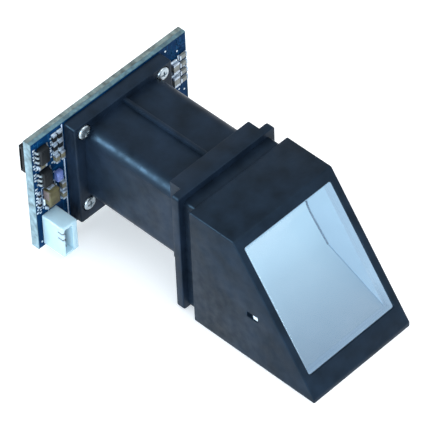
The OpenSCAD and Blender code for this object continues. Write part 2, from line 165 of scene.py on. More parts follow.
MATERIALS = {
    "black_plastic": surface("black_plastic", (0.0065, 0.0125, 0.024), 0.44, spread=0.45, patch=260,
                             grain=3600, bump=0.4, rough_spread=0.10, ior=1.25, tint=BLUE_SHEEN),
    # painted shade: a darker copy of black_plastic for the head and its base plate, so they take less
    # light than the tube
    "shaded_head_plastic": surface("shaded_head_plastic", (0.006, 0.0115, 0.021), 0.46, spread=0.45, patch=260,
                            grain=3600, bump=0.5, rough_spread=0.11, ior=1.23, tint=BLUE_SHEEN),
    "prism_glass": surface("prism_glass", (0.93, 0.97, 1.0), 0.03, spread=0.01, patch=120,
                           grain=900, bump=0.005, rough_spread=0.01, transmission=1.0, ior=1.03,
                           coat=0.6),
    # painted light: prism_back, prism_side and platen_side glow and are painted darker towards the
    # bottom as painted shade
    "prism_back": gradient("prism_back", (0.135, 0.22, 0.33), (0.45, 0.69, 0.88), 0.0, 13.5),
    "prism_side": gradient("prism_side", (0.31, 0.48, 0.66), (0.39, 0.60, 0.79), 2.0, 18.0),
    "platen_side": gradient("platen_side", (0.17, 0.27, 0.40), (0.34, 0.52, 0.70), 1.0, 9.0),
    # painted shade: dark lines for the prism's inner corners, lifted by a faint glow, the second one
    # fainter
    "edge_shadow": surface("edge_shadow", (0.05, 0.08, 0.12), 0.5, spread=0.2, patch=400,
                           grain=3000, bump=0.1, glow=0.6),
    "edge_faint_shade": surface("edge_faint_shade", (0.10, 0.17, 0.25), 0.5, spread=0.1, patch=400,
                          grain=3000, bump=0.1, glow=0.8),
    "black_rubber": surface("black_rubber", (0.008, 0.011, 0.015), 0.8, spread=0.3, patch=900,
                            grain=4000, bump=0.5),
    "white_plastic": surface("white_plastic", (0.62, 0.70, 0.76), 0.5, spread=0.05, patch=200,
                             grain=2500, bump=0.1),
    "clear_guide": surface("clear_guide", (0.80, 0.88, 0.95), 0.35, spread=0.04, patch=300,
                           grain=2500, bump=0.1, transmission=0.6),
    "green_board": surface("green_board", (0.015, 0.12, 0.05), 0.4, spread=0.2, patch=600,
                           grain=2500, bump=0.2),
    "led_lens": surface("led_lens", (0.75, 0.82, 1.0), 0.15, spread=0.06, patch=900, grain=3000,
                        bump=0.05, coat=0.4),
    "chip_black": surface("chip_black", (0.005, 0.007, 0.009), 0.55, spread=0.25, patch=700,
                          grain=9000, bump=0.5, ior=1.3),
    "lead_grey": surface("lead_grey", (0.26, 0.31, 0.34), 0.42, spread=0.3, patch=1500,
                         grain=4500, bump=0.4, metallic=0.7),
    "wire_red": surface("wire_red", (0.40, 0.03, 0.02), 0.35, spread=0.12, patch=500, grain=2500,
                        bump=0.1),
    "black_anodised": surface("black_anodised", (0.02, 0.02, 0.022), 0.35, spread=0.2, patch=600,
                              grain=5000, bump=0.2, metallic=0.8),
    "lens_glass": surface("lens_glass", (0.86, 0.95, 0.91), 0.03, spread=0.02, patch=300, grain=900,
                          bump=0.0, rough_spread=0.01, transmission=1.0, ior=1.6),
    "filter_glass": surface("filter_glass", (0.35, 0.60, 0.90), 0.04, spread=0.03, patch=300,
                            grain=900, bump=0.0, rough_spread=0.01, transmission=0.9, ior=1.52),
    "tin_metal": surface("tin_metal", (0.44, 0.52, 0.61), 0.38, spread=0.2, patch=1500, grain=4500,
                         bump=0.5, metallic=0.75),
    # painted shade: a darkened tin for the socket contacts, which sit in shade inside the socket and
    # its notches
    "shaded_tin": surface("shaded_tin", (0.10, 0.12, 0.14), 0.4, spread=0.2, patch=1500, grain=4500,
                        bump=0.3, metallic=0.6),
    "solder": surface("solder", (0.62, 0.72, 0.80), 0.34, spread=0.25, patch=2200, grain=5200,
                      bump=0.6, metallic=0.7),
    "grey_ceramic": surface("grey_ceramic", (0.20, 0.22, 0.21), 0.45, spread=0.25, patch=1500,
                            grain=4200, bump=0.3),
    "blue_board": surface("blue_board", (0.002, 0.024, 0.075), 0.42, spread=0.4, patch=420,
                          grain=3600, bump=0.25, ior=1.10, tint=BOARD_SHEEN),
    "trace_blue": surface("trace_blue", (0.006, 0.055, 0.140), 0.42, spread=0.3, patch=500,
                          grain=3600, bump=0.25, ior=1.10, tint=BOARD_SHEEN),
    "laminate": surface("laminate", (0.045, 0.10, 0.125), 0.65, spread=0.3, patch=1500, grain=4200,
                        bump=0.6, light=(0.09, 0.19, 0.225)),
    # painted light: a lighter laminate for the board's -X edge, which faces the light
    "lit_edge_laminate": surface("lit_edge_laminate", (0.14, 0.22, 0.25), 0.7, spread=0.4, patch=900,
                            grain=4200, bump=0.6, light=(0.27, 0.40, 0.46)),
    "laminate_rear": surface("laminate_rear", (0.085, 0.115, 0.11), 0.65, spread=0.5, patch=900,
                             grain=4200, bump=0.6, light=(0.19, 0.25, 0.24)),
    "silk_white": surface("silk_white", (0.40, 0.50, 0.64), 0.6, spread=0.2, patch=2500,
                          grain=4200, bump=0.3),
    "screw_steel": surface("screw_steel", (0.40, 0.46, 0.50), 0.28, spread=0.12, patch=900,
                           grain=4200, bump=0.3, metallic=0.9),
    # painted light: the socket's faint glow stands in for light scattered through its white plastic
    "socket_white": surface("socket_white", (0.40, 0.56, 0.64), 0.45, spread=0.05, patch=450,
                            grain=3000, bump=0.12, glow=0.06, milky=0.7),
    "gold_plate": surface("gold_plate", (0.62, 0.50, 0.28), 0.25, spread=0.12, patch=900,
                          grain=4000, bump=0.1, metallic=1.0),
    "capacitor_tan": surface("capacitor_tan", (0.060, 0.045, 0.010), 0.5, spread=0.3, patch=900,
                             grain=4200, bump=0.4, light=(0.10, 0.090, 0.036)),
    "stripe_brown": surface("stripe_brown", (0.13, 0.095, 0.09), 0.45, spread=0.25, patch=1200,
                            grain=4200, bump=0.3),
    "varistor_blue": surface("varistor_blue", (0.10, 0.14, 0.34), 0.3, spread=0.25, patch=1200,
                             grain=4000, bump=0.2),
    "ceramic_brown": surface("ceramic_brown", (0.13, 0.12, 0.08), 0.45, spread=0.25, patch=1600,
                             grain=4200, bump=0.3),
}


# ---------------------------------------------------------------- mesh helpers

def to_object(name, bm, material, smooth_angle=38):
    """Turns a bmesh into a shaded object of the scene."""
    bmesh.ops.recalc_face_normals(bm, faces=bm.faces)
    mesh = bpy.data.meshes.new(name)
    bm.to_mesh(mesh)
    bm.free()
    piece = bpy.data.objects.new(name, mesh)
    bpy.context.scene.collection.objects.link(piece)
    mesh.materials.append(MATERIALS[material])
    shade(mesh, smooth_angle)
    return piece


def shade(mesh, smooth_angle):
    for face in mesh.polygons:
        face.use_smooth = True
    bm = bmesh.new()
    bm.from_mesh(mesh)
    for edge in bm.edges:
        sharp = len(edge.link_faces) != 2 or edge.calc_face_angle(0) > math.radians(smooth_angle)
        edge.smooth = not sharp
    bm.to_mesh(mesh)
    bm.free()


def place(piece, slot, *nodes, body=BODY):
    """Fixes a finished piece to its CAD body and hides the CAD nodes it stands for."""
    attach(piece, body)
    if nodes:
        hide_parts(*nodes)
    return piece


def add_box(bm, low, high, radius=0.0, segments=2):
    """A block between two corners (mm) with rounded edges."""
    size = [h - l for l, h in zip(low, high)]
    middle = [(h + l) / 2 for l, h in zip(low, high)]
    made = bmesh.ops.create_cube(bm, size=1.0)
    verts = made["verts"]
    bmesh.ops.scale(bm, vec=Vector(size) * MM, verts=verts)
    bmesh.ops.translate(bm, vec=Vector(middle) * MM, verts=verts)
    if radius:
        edges = list({e for v in verts for e in v.link_edges})
        bmesh.ops.bevel(bm, geom=edges, offset=radius * MM, segments=segments, profile=0.5,
                        affect="EDGES", clamp_overlap=True)


def box_piece(name, low, high, radius, material, segments=2):
    bm = bmesh.new()
    add_box(bm, low, high, radius, segments)
    return to_object(name, bm, material)


def loft(bm, rings, closed_ends=True):
    """Skins a list of rings, each a list of points in mm with the same count."""
    rows = [[bm.verts.new(Vector(p) * MM) for p in ring] for ring in rings]
    count = len(rows[0])
    for a, b in zip(rows, rows[1:]):
        for i in range(count):
            j = (i + 1) % count
            bm.faces.new((a[i], a[j], b[j], b[i]))
    if closed_ends:
        bm.faces.new(list(reversed(rows[0])))
        bm.faces.new(rows[-1])


def rounded_ring(width, z_low, z_high, radius, y, steps=7, x_mid=0.0):
    """A rounded rectangle in the XZ plane at y."""
    radius = max(radius, 0.02)
    points = []
    z_mid = (z_low + z_high) / 2
    half_w = width / 2 - radius
    half_h = (z_high - z_low) / 2 - radius
    for quarter, (sx, sz) in enumerate(((1, 1), (-1, 1), (-1, -1), (1, -1))):
        for i in range(steps + 1):
            angle = math.radians(90 * (quarter + i / steps))
            points.append((x_mid + sx * half_w + radius * math.cos(angle), y,
                           z_mid + sz * half_h + radius * math.sin(angle)))
    return points


def soft_stations(y0, y1, edge, steps=3):
    """Stations along Y as (y, inset) so that both ends are rounded by edge."""
    stations = [(y0 + edge * (1 - math.cos(math.radians(90 * i / steps))),
                 edge * (1 - math.sin(math.radians(90 * i / steps)))) for i in range(steps + 1)]
    ends = [(y1 - (y - y0), inset) for y, inset in reversed(stations)]
    return stations + ends


def rounded_bar(bm, width, z_low, z_high, radius, y0, y1, edge, x_mid=0.0, steps=7):
    """A bar along Y with a rounded rectangle for its section and rounded ends."""
    rings = [rounded_ring(width - 2 * inset, z_low + inset, z_high - inset, radius - inset, y,
                          steps, x_mid)
             for y, inset in soft_stations(y0, y1, edge)]
    loft(bm, rings)


def lathe(bm, profile, x, z, sides=40):
    """Turns a profile of (y, radius) about an axis along Y."""
    rings = []
    for y, radius in profile:
        rings.append([(x + radius * math.cos(2 * math.pi * i / sides), y,
                       z + radius * math.sin(2 * math.pi * i / sides)) for i in range(sides)])
    loft(bm, rings)


def outline_bar(bm, outline, x0, x1, radius, segments=3):
    """Extrudes a YZ outline from x0 to x1 and rounds every edge."""
    near = [bm.verts.new(Vector((x0, y, z)) * MM) for y, z in outline]
    far = [bm.verts.new(Vector((x1, y, z)) * MM) for y, z in outline]
    count = len(outline)
    faces = [bm.faces.new(near), bm.faces.new(list(reversed(far)))]
    for i in range(count):
        j = (i + 1) % count
        faces.append(bm.faces.new((near[j], near[i], far[i], far[j])))
    if radius:
        edges = list({e for f in faces for e in f.edges})
        bmesh.ops.bevel(bm, geom=edges, offset=radius * MM, segments=segments, profile=0.5,
                        affect="EDGES", clamp_overlap=True)


def cutter(name, bm):
    bmesh.ops.recalc_face_normals(bm, faces=bm.faces)
    mesh = bpy.data.meshes.new(name)
    bm.to_mesh(mesh)
    bm.free()
    tool = bpy.data.objects.new(name, mesh)
    bpy.context.scene.collection.objects.link(tool)
    return tool


def combine(piece, tool, operation, smooth_angle=38):
    """Applies a boolean of tool to piece and removes tool."""
    modifier = piece.modifiers.new("combine", "BOOLEAN")
    modifier.operation = operation
    modifier.solver = EXACT
    modifier.object = tool
    bpy.context.view_layer.update()
    evaluated = piece.evaluated_get(bpy.context.evaluated_depsgraph_get())
    mesh = bpy.data.meshes.new_from_object(evaluated)
    old = piece.data
    piece.modifiers.clear()
    piece.data = mesh
    mesh.name = old.name
    bpy.data.meshes.remove(old)
    tool_mesh = tool.data
    bpy.data.objects.remove(tool)
    bpy.data.meshes.remove(tool_mesh)
    shade(mesh, smooth_angle)


def cut(piece, bm):
    combine(piece, cutter("cutter", bm), "DIFFERENCE")


def join(piece, bm):
    combine(piece, cutter("addition", bm), "UNION")


def lathe_down(bm, x, y, profile, sides=32):
    """Turns a profile of (z, radius) about an upright axis."""
    loft(bm, [[(x + radius * math.cos(2 * math.pi * i / sides),
                y + radius * math.sin(2 * math.pi * i / sides), z) for i in range(sides)]
              for z, radius in profile])


def corners(node):
    """A CAD node's box in mm."""
    low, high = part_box(node)
    return [c / MM for c in low], [c / MM for c in high]


# ---------------------------------------------------------------- places from the frame

HEAD_LOW, HEAD_HIGH = corners("head_housing")
TUBE_LOW, TUBE_HIGH = corners("lens_tube")
BOARD_LOW, BOARD_HIGH = corners("main_board")
SOCKET_LOW, SOCKET_HIGH = corners("socket_shell")
PRISM_LOW, PRISM_HIGH = corners("prism")
SCREWS_LOW, SCREWS_HIGH = corners("board_screws")
SEAL_LOW, SEAL_HIGH = corners("light_seal")
MASK_LOW, MASK_HIGH = corners("field_mask")
COVER_LOW, COVER_HIGH = corners("base_cover")

# Head
GAP = 0.05
HEAD_HALF = HEAD_HIGH[0]
HEAD_TOP = HEAD_HIGH[2]
HEAD_FRONT = HEAD_LOW[1]
NECK_END = HEAD_HIGH[1]
HEAD_BACK = -NECK_END
HEAD_TOP_L = 8.87
HEAD_TOP_FRONT = HEAD_BACK - HEAD_TOP_L
LIP = 0.9
WALL = 1.2
NECK = (18.0, 0.5, 22.6, 0.6)        # width, low z, high z, corner radius
WINDOW_HALF = 9.03
WINDOW_TOP = 1.75
WINDOW_BOTTOM = 23.55
PRISM_DEPTH = 1.6
SLOPE_WALL = 1.3
LATCH_Y = (13.3, 11.1)               # the latch openings' ends, forward of the head's back
LATCH_Z = (9.25, 10.35)
SLOPE_ANGLE = math.atan2(HEAD_TOP - LIP, HEAD_TOP_FRONT - HEAD_FRONT)

# Tube
AXIS_Z = (SEAL_LOW[2] + SEAL_HIGH[2]) / 2
TUBE_W = 16.4
TUBE_H = 14.7
TUBE_R = 2.3
TUBE_Z = (AXIS_Z - TUBE_H / 2, AXIS_Z + TUBE_H / 2)
BORE = (TUBE_W - 2 * WALL, TUBE_Z[0] + WALL, TUBE_Z[1] - WALL, TUBE_R - WALL)
COLLAR_TOP = TUBE_HIGH[2]
COLLAR_W = TUBE_HIGH[0] - TUBE_LOW[0]
COLLAR_T = 1.4
COLLAR_BACK_T = 2.2
FLANGE_T = 2.4
COLLAR_MID = TUBE_LOW[1] + COLLAR_T
COLLAR_END = COLLAR_MID + COLLAR_BACK_T
BOARD_Y = BOARD_LOW[1]
BOARD_BACK = BOARD_HIGH[1]
FLANGE_Y = BOARD_Y - FLANGE_T
FLANGE = (20.2, 3.75, 23.4, 0.4)     # width, low z, high z, corner radius
RIB = (-0.15, 0.55, 22.7)            # low x, high x, top z
SCREW_HEAD_R = 1.15
SCREW_R = 0.8
SCREW_SEAT = FLANGE_Y + 0.3
SCREW_SPOTS = [(x, z) for x in (SCREWS_LOW[0] + SCREW_HEAD_R, SCREWS_HIGH[0] - SCREW_HEAD_R)
               for z in (SCREWS_LOW[2] + SCREW_HEAD_R, SCREWS_HIGH[2] - SCREW_HEAD_R)]


def slope_point(x, along, depth):
    """A point given across the window slope, down it from its top edge, and below its surface."""
    down = (-math.cos(SLOPE_ANGLE), -math.sin(SLOPE_ANGLE))
    inward = (math.sin(SLOPE_ANGLE), -math.cos(SLOPE_ANGLE))
    return (x, HEAD_TOP_FRONT + down[0] * along + inward[0] * depth,
            HEAD_TOP + down[1] * along + inward[1] * depth)


def slope_ring(half_w, top, bottom, radius, depth, steps=5):
    """A rounded rectangle lying in the window slope."""
    return [slope_point(x, z, depth)
            for x, _, z in rounded_ring(2 * half_w, top, bottom, radius, 0.0, steps)]


def slope_y(depth, z):
    """The Y of the plane that lies depth below the window slope, at height z."""
    return (HEAD_FRONT + depth / math.sin(SLOPE_ANGLE)
            + (z - LIP) * (HEAD_TOP_FRONT - HEAD_FRONT) / (HEAD_TOP - LIP))


# ---------------------------------------------------------------- head

def head_housing():
    outline = [(HEAD_BACK, 0.0), (HEAD_FRONT, 0.0), (HEAD_FRONT, LIP),
               (HEAD_TOP_FRONT, HEAD_TOP), (HEAD_BACK, HEAD_TOP)]
    bm = bmesh.new()
    outline_bar(bm, outline, -HEAD_HALF, HEAD_HALF, 0.26)
    piece = to_object("head_shell", bm, "shaded_head_plastic")

    neck = bmesh.new()
    rounded_bar(neck, *NECK, HEAD_BACK - 0.5, NECK_END, 0.05)
    join(piece, neck)

    inner_back = HEAD_BACK - WALL
    cavity = bmesh.new()
    inner = [(inner_back, -1.0), (COVER_LOW[1] - GAP, -1.0), (COVER_LOW[1] - GAP, WALL),
             (slope_y(SLOPE_WALL, HEAD_TOP - WALL), HEAD_TOP - WALL), (inner_back, HEAD_TOP - WALL)]
    outline_bar(cavity, inner, COVER_LOW[0] - GAP, COVER_HIGH[0] + GAP, 0.0)
    cut(piece, cavity)

    window = bmesh.new()
    loft(window, [slope_ring(WINDOW_HALF + flare, WINDOW_TOP - flare, WINDOW_BOTTOM + flare,
                             0.3 + flare, depth)
                  for flare, depth in ((0.2, -0.5), (0.12, -0.02), (0.0, 0.12), (0.0, 2.2))])
    cut(piece, window)

    passage = bmesh.new()
    rounded_bar(passage, *BORE, HEAD_BACK - 3, NECK_END + 1, 0.05)
    cut(piece, passage)

    pocket = bmesh.new()
    rounded_bar(pocket, MASK_HIGH[0] - MASK_LOW[0] + 2 * GAP, MASK_LOW[2] - GAP,
                MASK_HIGH[2] + GAP, 0.6, MASK_LOW[1] - GAP, NECK_END + 1, 0.02)
    cut(piece, pocket)

    for side in (-1, 1):
        hole = bmesh.new()
        add_box(hole, (side * 10 - 2, HEAD_BACK - LATCH_Y[0], LATCH_Z[0]),
                (side * 10 + 2, HEAD_BACK - LATCH_Y[1], LATCH_Z[1]), 0.15)
        cut(piece, hole)
    return place(piece, "black_plastic", "head_housing")


def base_cover():
    piece = box_piece("base_plate", COVER_LOW, COVER_HIGH, 0.15, "shaded_head_plastic")
    middle = (COVER_LOW[1] + COVER_HIGH[1]) / 2
    for y in (middle - 6, middle + 6):
        dent = bmesh.new()
        lathe_down(dent, 0.0, y, ((-0.2, 0.9), (0.25, 0.9)))
        cut(piece, dent)
    return place(piece, "black_plastic", "base_cover")


# The prism's rear corners, as (y, z)
PRISM_BACK = PRISM_HIGH[1]
WAIST = (PRISM_BACK, 13.5)
HEEL = (PRISM_BACK - 4.3, 8.0)
BODY_HALF = 8.65        # half the width of the glass behind the window
SKIN = 0.06             # nominal thickness of the bright faces inside the prism
GLASS_GAP = 0.2         # space between those faces and the clear body at its sides, back and foot


def prism():
    """The glass body with its raised platen, and the bright faces that are seen inside it."""
    foot = (slope_y(PRISM_DEPTH, PRISM_LOW[2]), PRISM_LOW[2])
    crown = (slope_y(PRISM_DEPTH, PRISM_HIGH[2]), PRISM_HIGH[2])
    bm = bmesh.new()
    glass_low = PRISM_LOW[2] + GLASS_GAP
    glass_foot = (slope_y(PRISM_DEPTH, glass_low), glass_low)
    outline_bar(bm, [glass_foot, crown, (PRISM_BACK - GLASS_GAP, PRISM_HIGH[2]),
                     (PRISM_BACK - GLASS_GAP, WAIST[1]), (HEEL[0] - GLASS_GAP, HEEL[1] + GLASS_GAP)],
                -BODY_HALF + GLASS_GAP, BODY_HALF - GLASS_GAP, 0.0)
    piece = to_object("prism_body", bm, "prism_glass")
    platen = bmesh.new()
    loft(platen, [slope_ring(WINDOW_HALF - inset, WINDOW_TOP + inset, WINDOW_BOTTOM - inset,
                             0.28, depth)
                  for inset, depth in ((0.17, GAP), (0.06, GAP + 0.11), (0.06, PRISM_DEPTH + 0.1))])
    join(piece, platen)
    piece.visible_shadow = False
    piece.visible_diffuse = False
    place(piece, "prism_glass", "prism")

    # upright back, slanted back and foot in one soft-cornered skin
    path = [(PRISM_BACK, PRISM_HIGH[2]), (PRISM_BACK, WAIST[1] + 1.6)]
    for i in range(1, 8):
        t = i / 8
        a = ((1 - t) * (PRISM_BACK) + t * WAIST[0], (1 - t) * (WAIST[1] + 1.6) + t * WAIST[1])
        b = ((1 - t) * WAIST[0] + t * (WAIST[0] - 1.1), (1 - t) * WAIST[1] + t * (WAIST[1] - 1.4))
        path.append(((1 - t) * a[0] + t * b[0], (1 - t) * a[1] + t * b[1]))
    path += [(WAIST[0] - 1.1, WAIST[1] - 1.4), HEEL, foot]
    back = bmesh.new()
    rings = []
    for k, (y, z) in enumerate(path):
        ahead = path[min(k + 1, len(path) - 1)]
        behind = path[max(k - 1, 0)]
        way = Vector((ahead[0] - behind[0], ahead[1] - behind[1])).normalized()
        normal = (way[1] * SKIN, -way[0] * SKIN)
        rings.append([(-BODY_HALF, y, z), (BODY_HALF, y, z),
                      (BODY_HALF, y + normal[0] * 0.8, z + normal[1] * 0.8),
                      (-BODY_HALF, y + normal[0] * 0.8, z + normal[1] * 0.8)])
    loft(back, rings)
    place(to_object("prism_back_skin", back, "prism_back", 50), "prism_glass")

    for side in (-1, 1):
        flank = bmesh.new()
        outline_bar(flank, [foot, crown, (PRISM_BACK, PRISM_HIGH[2]), WAIST, HEEL],
                    side * (BODY_HALF - SKIN * 0.9), side * BODY_HALF, 0.0)
        place(to_object("prism_flank", flank, "prism_side"), "prism_glass")

    lining = bmesh.new()
    side, top, bottom = WINDOW_HALF - 0.1, WINDOW_TOP + 0.1, WINDOW_BOTTOM - 0.1
    loft(lining, [slope_ring(side - inset, top + inset, bottom - inset, 0.25, depth)
                  for inset, depth in ((0, 0.2), (0, PRISM_DEPTH + 0.04), (0.5, PRISM_DEPTH + 0.04),
                                       (0.5, PRISM_DEPTH), (0.04, PRISM_DEPTH), (0.04, 0.2), (0, 0.2))],
         closed_ends=False)
    bmesh.ops.remove_doubles(lining, verts=lining.verts, dist=1e-6)
    place(to_object("platen_lining", lining, "platen_side", 50), "prism_glass")

    # painted shade along the prism's inner corners, fainter at the foot
    edge_line("back_edge_line", path[:-1], "edge_shadow", 0.22)
    edge_line("foot_edge_line", path[-2:], "edge_faint_shade", 0.13)


def edge_line(name, points, material, thick):
    """A thin line of painted shade down the prism's inner corner on the +X side, along (y, z) points;
    its material glows faintly.
    """
    x = BODY_HALF - 0.06
    rings = []
    for k, (y, z) in enumerate(points):
        ahead = points[min(k + 1, len(points) - 1)]
        behind = points[max(k - 1, 0)]
        way = Vector((ahead[0] - behind[0], ahead[1] - behind[1])).normalized()
        inward = Vector((way[1], -way[0]))
        near, far = inward * 0.07, inward * thick
        rings.append([(x, y + near[0], z + near[1]), (x - thick, y + near[0], z + near[1]),
                      (x, y + far[0], z + far[1])])
    line = bmesh.new()
    loft(line, rings)
    place(to_object(name, line, material), "prism_glass")


head_housing()
base_cover()
prism()


# ---------------------------------------------------------------- lens tube

def lens_tube():
    bm = bmesh.new()
    rounded_bar(bm, COLLAR_W, TUBE_LOW[2], COLLAR_TOP, 0.6, TUBE_LOW[1], COLLAR_MID, 0.16)
    piece = to_object("tube_shell", bm, "black_plastic")

    back = bmesh.new()
    half = TUBE_W / 2
    outline = [(2.4 - half, 2.2), (half - 2.4, 2.2), (half, 8.0), (half, COLLAR_TOP),
               (-half, COLLAR_TOP), (-half, 8.0)]
    rings = []
    for y, inset in ((COLLAR_MID - 0.5, 0), (COLLAR_END - 0.2, 0), (COLLAR_END - 0.06, 0.06),
                     (COLLAR_END, 0.2)):
        rings.append([(x * (1 - inset / half), y, z - inset if z > AXIS_Z else z + inset)
                      for x, z in outline])
    loft(back, rings)
    join(piece, back)

    tube = bmesh.new()
    rounded_bar(tube, TUBE_W, *TUBE_Z, TUBE_R, COLLAR_MID + 0.5, BOARD_Y - 0.5, 0.05, steps=12)
    join(piece, tube)

    flange = bmesh.new()
    rounded_bar(flange, *FLANGE, FLANGE_Y, BOARD_Y, 0.2)
    join(piece, flange)

    rib = bmesh.new()
    add_box(rib, (RIB[0], COLLAR_END - 0.5, TUBE_Z[1] - 0.5), (RIB[1], FLANGE_Y + 0.5, RIB[2]), 0.14)
    join(piece, rib)

    bore = bmesh.new()
    rounded_bar(bore, *BORE, TUBE_LOW[1] - 1, BOARD_Y + 1, 0.05)
    cut(piece, bore)

    seat = bmesh.new()
    rounded_bar(seat, SEAL_HIGH[0] - SEAL_LOW[0] + 2 * GAP, SEAL_LOW[2] - GAP, SEAL_HIGH[2] + GAP,
                2.0, SEAL_LOW[1] - GAP, BOARD_Y + 1, 0.02)
    cut(piece, seat)

    for x, z in SCREW_SPOTS:
        hole = bmesh.new()
        lathe(hole, ((FLANGE_Y - 0.8, 1.33), (SCREW_SEAT, 1.33), (SCREW_SEAT, SCREW_R + 0.02),
                     (BOARD_Y + 1, SCREW_R + 0.02)), x, z)
        cut(piece, hole)
    return place(piece, "black_plastic", "lens_tube")


lens_tube()


# ---------------------------------------------------------------- circuit board

MASK = 0.06            # how far below the board's face the solder mask ends and the laminate starts
SILK_X = -10.38        # the white line beside the flange
TRACK_STRIPS = ((-16.3, -10.6), (10.6, 15.0))        # X ranges beside the flange
HOLE_STRIPS = ((-16.2, -10.7), (10.7, 15.1))
TRACKS = 70
PLATED_HOLES = 46
TRACK_W = 0.14
HOLE_R = 0.17


def mask_layer(name, y0, y1):
    inset = 0.14
    return box_piece(name, (BOARD_LOW[0] + inset, y0, BOARD_LOW[2] + inset),
                     (BOARD_HIGH[0] - inset, y1, BOARD_HIGH[2] - inset), 0.02, "blue_board", 1)


def main_board():
    seam = BOARD_Y + 0.45 * (BOARD_BACK - BOARD_Y)
    end = BOARD_LOW[0] + 0.08
    core = box_piece("board_core", (end, BOARD_Y + MASK, BOARD_LOW[2]),
                     (BOARD_HIGH[0], seam, BOARD_HIGH[2]), 0.05, "laminate", 2)
    rear = box_piece("board_core_rear", (end, seam, BOARD_LOW[2]),
                     (BOARD_HIGH[0], BOARD_BACK - MASK, BOARD_HIGH[2]), 0.05, "laminate_rear", 2)
    # painted light: the board's -X edge is a separate strip in a lighter laminate
    place(box_piece("board_lit_edge", (BOARD_LOW[0], BOARD_Y + MASK, BOARD_LOW[2]),
                    (end + 0.02, BOARD_BACK - MASK, BOARD_HIGH[2]), 0.04, "lit_edge_laminate"), "blue_board")
    layers = (core, rear, mask_layer("board_front_mask", BOARD_Y + 0.02, BOARD_Y + MASK),
              mask_layer("board_back_mask", BOARD_BACK - MASK, BOARD_BACK - 0.02))
    for layer in layers:
        for x, z in SCREW_SPOTS:
            hole = bmesh.new()
            lathe(hole, [(y, SCREW_R + 0.02) for y in (BOARD_Y - 1, BOARD_BACK + 1)], x, z)
            cut(layer, hole)
        place(layer, "blue_board")
    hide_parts("main_board")


def film(name, boxes, material, slot, front=True):
    """Thin printed or plated areas on one face of the board, given as (x0, z0, x1, z1)."""
    bm = bmesh.new()
    for x0, z0, x1, z1 in boxes:
        if front:
            add_box(bm, (x0, BOARD_Y, z0), (x1, BOARD_Y + 0.03, z1), 0.012, 1)
        else:
            add_box(bm, (x0, BOARD_BACK - 0.03, z0), (x1, BOARD_BACK, z1), 0.012, 1)
    return place(to_object(name, bm, material, 60), slot)


def around(x, z, width, height):
    return (x - width / 2, z - height / 2, x + width / 2, z + height / 2)


def board_print():
    """White lines, bare pads, plated holes and tracks on both faces."""
    silk = [(SILK_X - 0.12, BOARD_LOW[2] + 0.4, SILK_X + 0.12, BOARD_HIGH[2] - 0.3)]
    rim = 0.12
    x0, z0, x1, z1 = -15.35, 9.7, -12.55, 13.6
    silk += [(x0, z0, x0 + rim, z1), (x1 - rim, z0, x1, z1), (x0, z1 - rim, x1, z1)]
    film("silk_front", silk, "silk_white", "blue_board")
    back_silk = [(-5.6, 8.2, -5.45, 19.0), (7.05, 8.2, 7.2, 19.0), (-15.1, 9.2, -8.5, 9.35),
                 (-15.1, 14.7, -8.5, 14.85)]
    film("silk_back", back_silk, "silk_white", "blue_board", False)

    rng = random.Random(5)
    pads = []
    for row in range(9):
        for column in range(4):
            if rng.random() < 0.8:
                pads.append(around(-12.75 + 0.62 * column + rng.uniform(-0.08, 0.08),
                                   17.2 + 0.62 * row + rng.uniform(-0.06, 0.06), 0.34, 0.3))
    for row in range(22):
        z = 9.2 + 0.62 * row
        if rng.random() < 0.72:
            pads.append(around(-16.25 + rng.uniform(-0.12, 0.12), z, rng.uniform(0.3, 0.55), 0.34))
    for row in range(9):
        for column in range(2):
            if rng.random() < 0.75:
                pads.append(around(-15.75 + 0.55 * column, 8.95 + 0.52 * row, 0.3, 0.3))
    for row in range(7):
        pads.append(around(14.95, 14.0 + row * 0.95, 0.5, 0.42))
        pads.append(around(11.5, 14.4 + row * 0.9, 0.36, 0.32))
    film("pads_front", pads, "solder", "tin_metal")

    back_pads = [around(-16.0 + 0.9 * i, 3.6, 0.5, 0.8) for i in range(8)]
    back_pads += [around(14.4, 16.0 + 1.0 * i, 0.8, 0.5) for i in range(7)]
    film("pads_back", back_pads, "solder", "tin_metal", False)

    for front in (True, False):
        tracks = []
        for _ in range(TRACKS):
            x = rng.choice([rng.uniform(*strip) for strip in TRACK_STRIPS]) if front \
                else rng.uniform(TRACK_STRIPS[0][0], TRACK_STRIPS[1][1])
            z = rng.uniform(BOARD_LOW[2] + 0.6, BOARD_HIGH[2] - 0.8)
            run = rng.uniform(0.8, 3.2)
            turn = rng.uniform(0.5, 2.0)
            right = min(x + turn, BOARD_HIGH[0] - 0.3)
            up = min(z + run, BOARD_HIGH[2] - 0.3)
            tracks += [(x, z, x + TRACK_W, up), (x, z, right, z + TRACK_W)]
        face = "front" if front else "back"
        bm = bmesh.new()
        for x0, z0, x1, z1 in tracks:
            y0, y1 = (BOARD_Y + 0.012, BOARD_Y + 0.04) if front else (BOARD_BACK - 0.04,
                                                                      BOARD_BACK - 0.012)
            add_box(bm, (x0, y0, z0), (x1, y1, z1), 0.0)
        place(to_object("tracks_" + face, bm, "trace_blue"), "blue_board")

        rings = bmesh.new()
        for _ in range(PLATED_HOLES):
            x = rng.choice([rng.uniform(*strip) for strip in HOLE_STRIPS]) if front \
                else rng.uniform(HOLE_STRIPS[0][0], 15.0)
            z = rng.uniform(BOARD_LOW[2] + 0.6, BOARD_HIGH[2] - 0.6)
            y = (BOARD_Y + 0.004, BOARD_Y + 0.03) if front else (BOARD_BACK - 0.03,
                                                                 BOARD_BACK - 0.004)
            lathe(rings, ((y[0], HOLE_R), (y[1], HOLE_R)), x, z, 14)
        place(to_object("plated_holes_" + face, rings, "solder"), "tin_metal")


